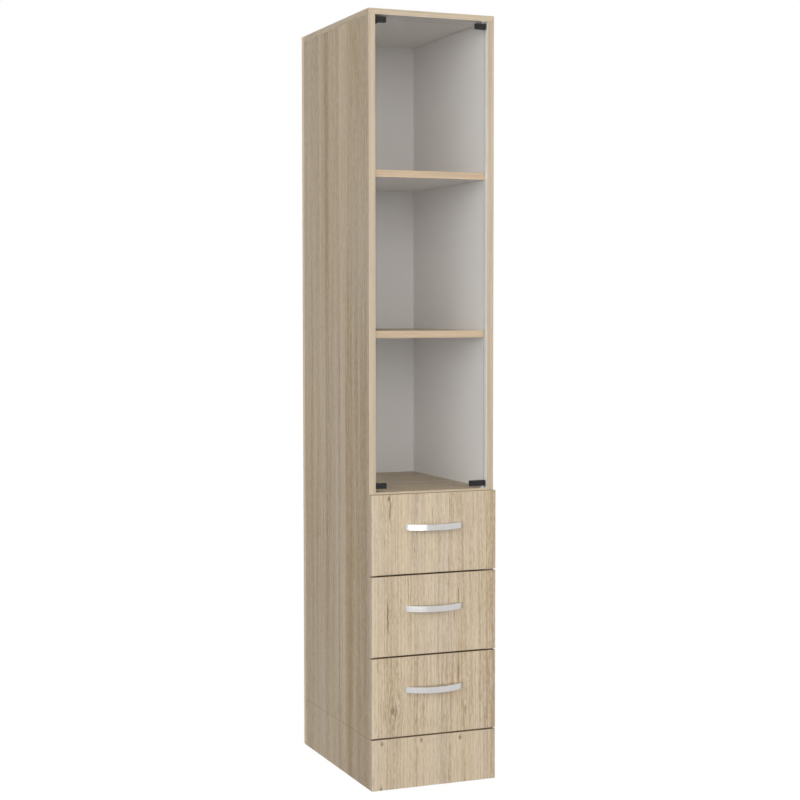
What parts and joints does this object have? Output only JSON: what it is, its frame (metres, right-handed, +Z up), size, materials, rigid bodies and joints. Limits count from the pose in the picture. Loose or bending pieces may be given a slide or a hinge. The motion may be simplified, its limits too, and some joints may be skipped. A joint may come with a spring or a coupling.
{
  "type": "linen cabinet",
  "caption": "Tall narrow linen cabinet in light oak board, with shelf spaces behind a clear pivoting glass door above full-width drawers with bow handles, on a plinth base.",
  "frame": {"origin": "on the floor under the middle of the cabinet's overall box, handles included", "axes": "+X to the right seen from the front, +Y from the front to the wall, +Z up"},
  "size_m": [0.28, 0.4524, 1.6],
  "materials": {
    "oak_board": "light oak melamine with a vertical grain",
    "white_board": "white melamine",
    "plain_wood": "bare softwood",
    "zinc": "zinc plated",
    "coated_steel": "white epoxy coat",
    "grey_nylon": "pale grey nylon",
    "black_clip": "matt black coat",
    "black_plastic": "moulded black",
    "clear_glass": "clear float glass, polished edges",
    "satin_silver": "satin silver"
  },
  "bodies": {
    "carcass": {"left_side_panel": "oak_board", "right_side_panel": "oak_board", "top_panel": "oak_board", "display_floor": "oak_board", "middle_shelf": "oak_board", "upper_shelf": "oak_board", "drawer_bay_bottom": "white_board", "back_panel": "oak_board", "base_left_board": "oak_board", "base_right_board": "oak_board", "base_front_board": "oak_board", "base_corner_blocks": "plain_wood", "cam_discs": "zinc", "cam_bolts": "zinc", "panel_dowels": "plain_wood", "panel_screws": "zinc", "runner_screws": "zinc", "cabinet_runners": "coated_steel", "hinge_bushes": "grey_nylon", "latch_cases": "black_plastic", "anti_tip_bracket": "zinc"},
    "door": {"glass_door": "clear_glass", "top_hinge_clip": "black_clip", "bottom_hinge_clip": "black_clip", "top_strike_clip": "black_clip", "bottom_strike_clip": "black_clip", "top_hinge_pin": "zinc", "bottom_hinge_pin": "zinc", "clip_screws": "zinc"},
    "top_plunger": {"top_latch_plunger": "black_plastic"},
    "bottom_plunger": {"bottom_latch_plunger": "black_plastic"},
    "bottom_drawer": {"bottom_drawer_front": "oak_board", "bottom_drawer_sides": "white_board", "bottom_drawer_ends": "white_board", "bottom_drawer_bottom": "white_board", "bottom_drawer_handle": "satin_silver", "bottom_drawer_fasteners": "zinc", "bottom_drawer_runners": "coated_steel"},
    "bottom_front_roller_pair": {"bottom_front_rollers": "grey_nylon"},
    "bottom_rear_roller_pair": {"bottom_rear_rollers": "grey_nylon"},
    "middle_drawer": {"middle_drawer_front": "oak_board", "middle_drawer_sides": "white_board", "middle_drawer_ends": "white_board", "middle_drawer_bottom": "white_board", "middle_drawer_handle": "satin_silver", "middle_drawer_fasteners": "zinc", "middle_drawer_runners": "coated_steel"},
    "middle_front_roller_pair": {"middle_front_rollers": "grey_nylon"},
    "middle_rear_roller_pair": {"middle_rear_rollers": "grey_nylon"},
    "top_drawer": {"top_drawer_front": "oak_board", "top_drawer_sides": "white_board", "top_drawer_ends": "white_board", "top_drawer_bottom": "white_board", "top_drawer_handle": "satin_silver", "top_drawer_fasteners": "zinc", "top_drawer_runners": "coated_steel"},
    "top_front_roller_pair": {"top_front_rollers": "grey_nylon"},
    "top_rear_roller_pair": {"top_rear_rollers": "grey_nylon"}
  },
  "joints": [
    {"name": "door_hinge", "type": "hinge", "parent": "carcass", "child": "door", "pos_m": [0.117, -0.18225, 0.617], "axis": [0, 0, 1], "range_deg": [0, 100]},
    {"name": "top_latch_press", "type": "slide", "parent": "carcass", "child": "top_plunger", "axis": [0, 1, 0], "range_m": [0, 0.003], "stiffness_N_per_m": 200},
    {"name": "bottom_latch_press", "type": "slide", "parent": "carcass", "child": "bottom_plunger", "axis": [0, 1, 0], "range_m": [0, 0.003], "stiffness_N_per_m": 200},
    {"name": "bottom_drawer_slide", "type": "slide", "parent": "carcass", "child": "bottom_drawer", "axis": [0, -1, 0], "range_m": [0, 0.28]},
    {"name": "bottom_front_roller_spin", "type": "hinge", "parent": "carcass", "child": "bottom_front_roller_pair", "pos_m": [0.11875, -0.17275, 0.1353], "axis": [1, 0, 0], "range_deg": [-2400, 2400]},
    {"name": "bottom_rear_roller_spin", "type": "hinge", "parent": "bottom_drawer", "child": "bottom_rear_roller_pair", "pos_m": [0.11875, 0.14925, 0.1353], "axis": [1, 0, 0], "range_deg": [-2400, 2400]},
    {"name": "middle_drawer_slide", "type": "slide", "parent": "carcass", "child": "middle_drawer", "axis": [0, -1, 0], "range_m": [0, 0.28]},
    {"name": "middle_front_roller_spin", "type": "hinge", "parent": "carcass", "child": "middle_front_roller_pair", "pos_m": [0.11875, -0.17275, 0.3043], "axis": [1, 0, 0], "range_deg": [-2400, 2400]},
    {"name": "middle_rear_roller_spin", "type": "hinge", "parent": "middle_drawer", "child": "middle_rear_roller_pair", "pos_m": [0.11875, 0.14925, 0.3043], "axis": [1, 0, 0], "range_deg": [-2400, 2400]},
    {"name": "top_drawer_slide", "type": "slide", "parent": "carcass", "child": "top_drawer", "axis": [0, -1, 0], "range_m": [0, 0.28]},
    {"name": "top_front_roller_spin", "type": "hinge", "parent": "carcass", "child": "top_front_roller_pair", "pos_m": [0.11875, -0.17275, 0.4733], "axis": [1, 0, 0], "range_deg": [-2400, 2400]},
    {"name": "top_rear_roller_spin", "type": "hinge", "parent": "top_drawer", "child": "top_rear_roller_pair", "pos_m": [0.11875, 0.14925, 0.4733], "axis": [1, 0, 0], "range_deg": [-2400, 2400]}
  ],
  "couplings": [
    {"joint": "bottom_front_roller_spin", "follows": "bottom_drawer_slide", "rad_per_m": 142.86},
    {"joint": "bottom_rear_roller_spin", "follows": "bottom_drawer_slide", "rad_per_m": 142.86},
    {"joint": "middle_front_roller_spin", "follows": "middle_drawer_slide", "rad_per_m": 142.86},
    {"joint": "middle_rear_roller_spin", "follows": "middle_drawer_slide", "rad_per_m": 142.86},
    {"joint": "top_front_roller_spin", "follows": "top_drawer_slide", "rad_per_m": 142.86},
    {"joint": "top_rear_roller_spin", "follows": "top_drawer_slide", "rad_per_m": 142.86}
  ]
}
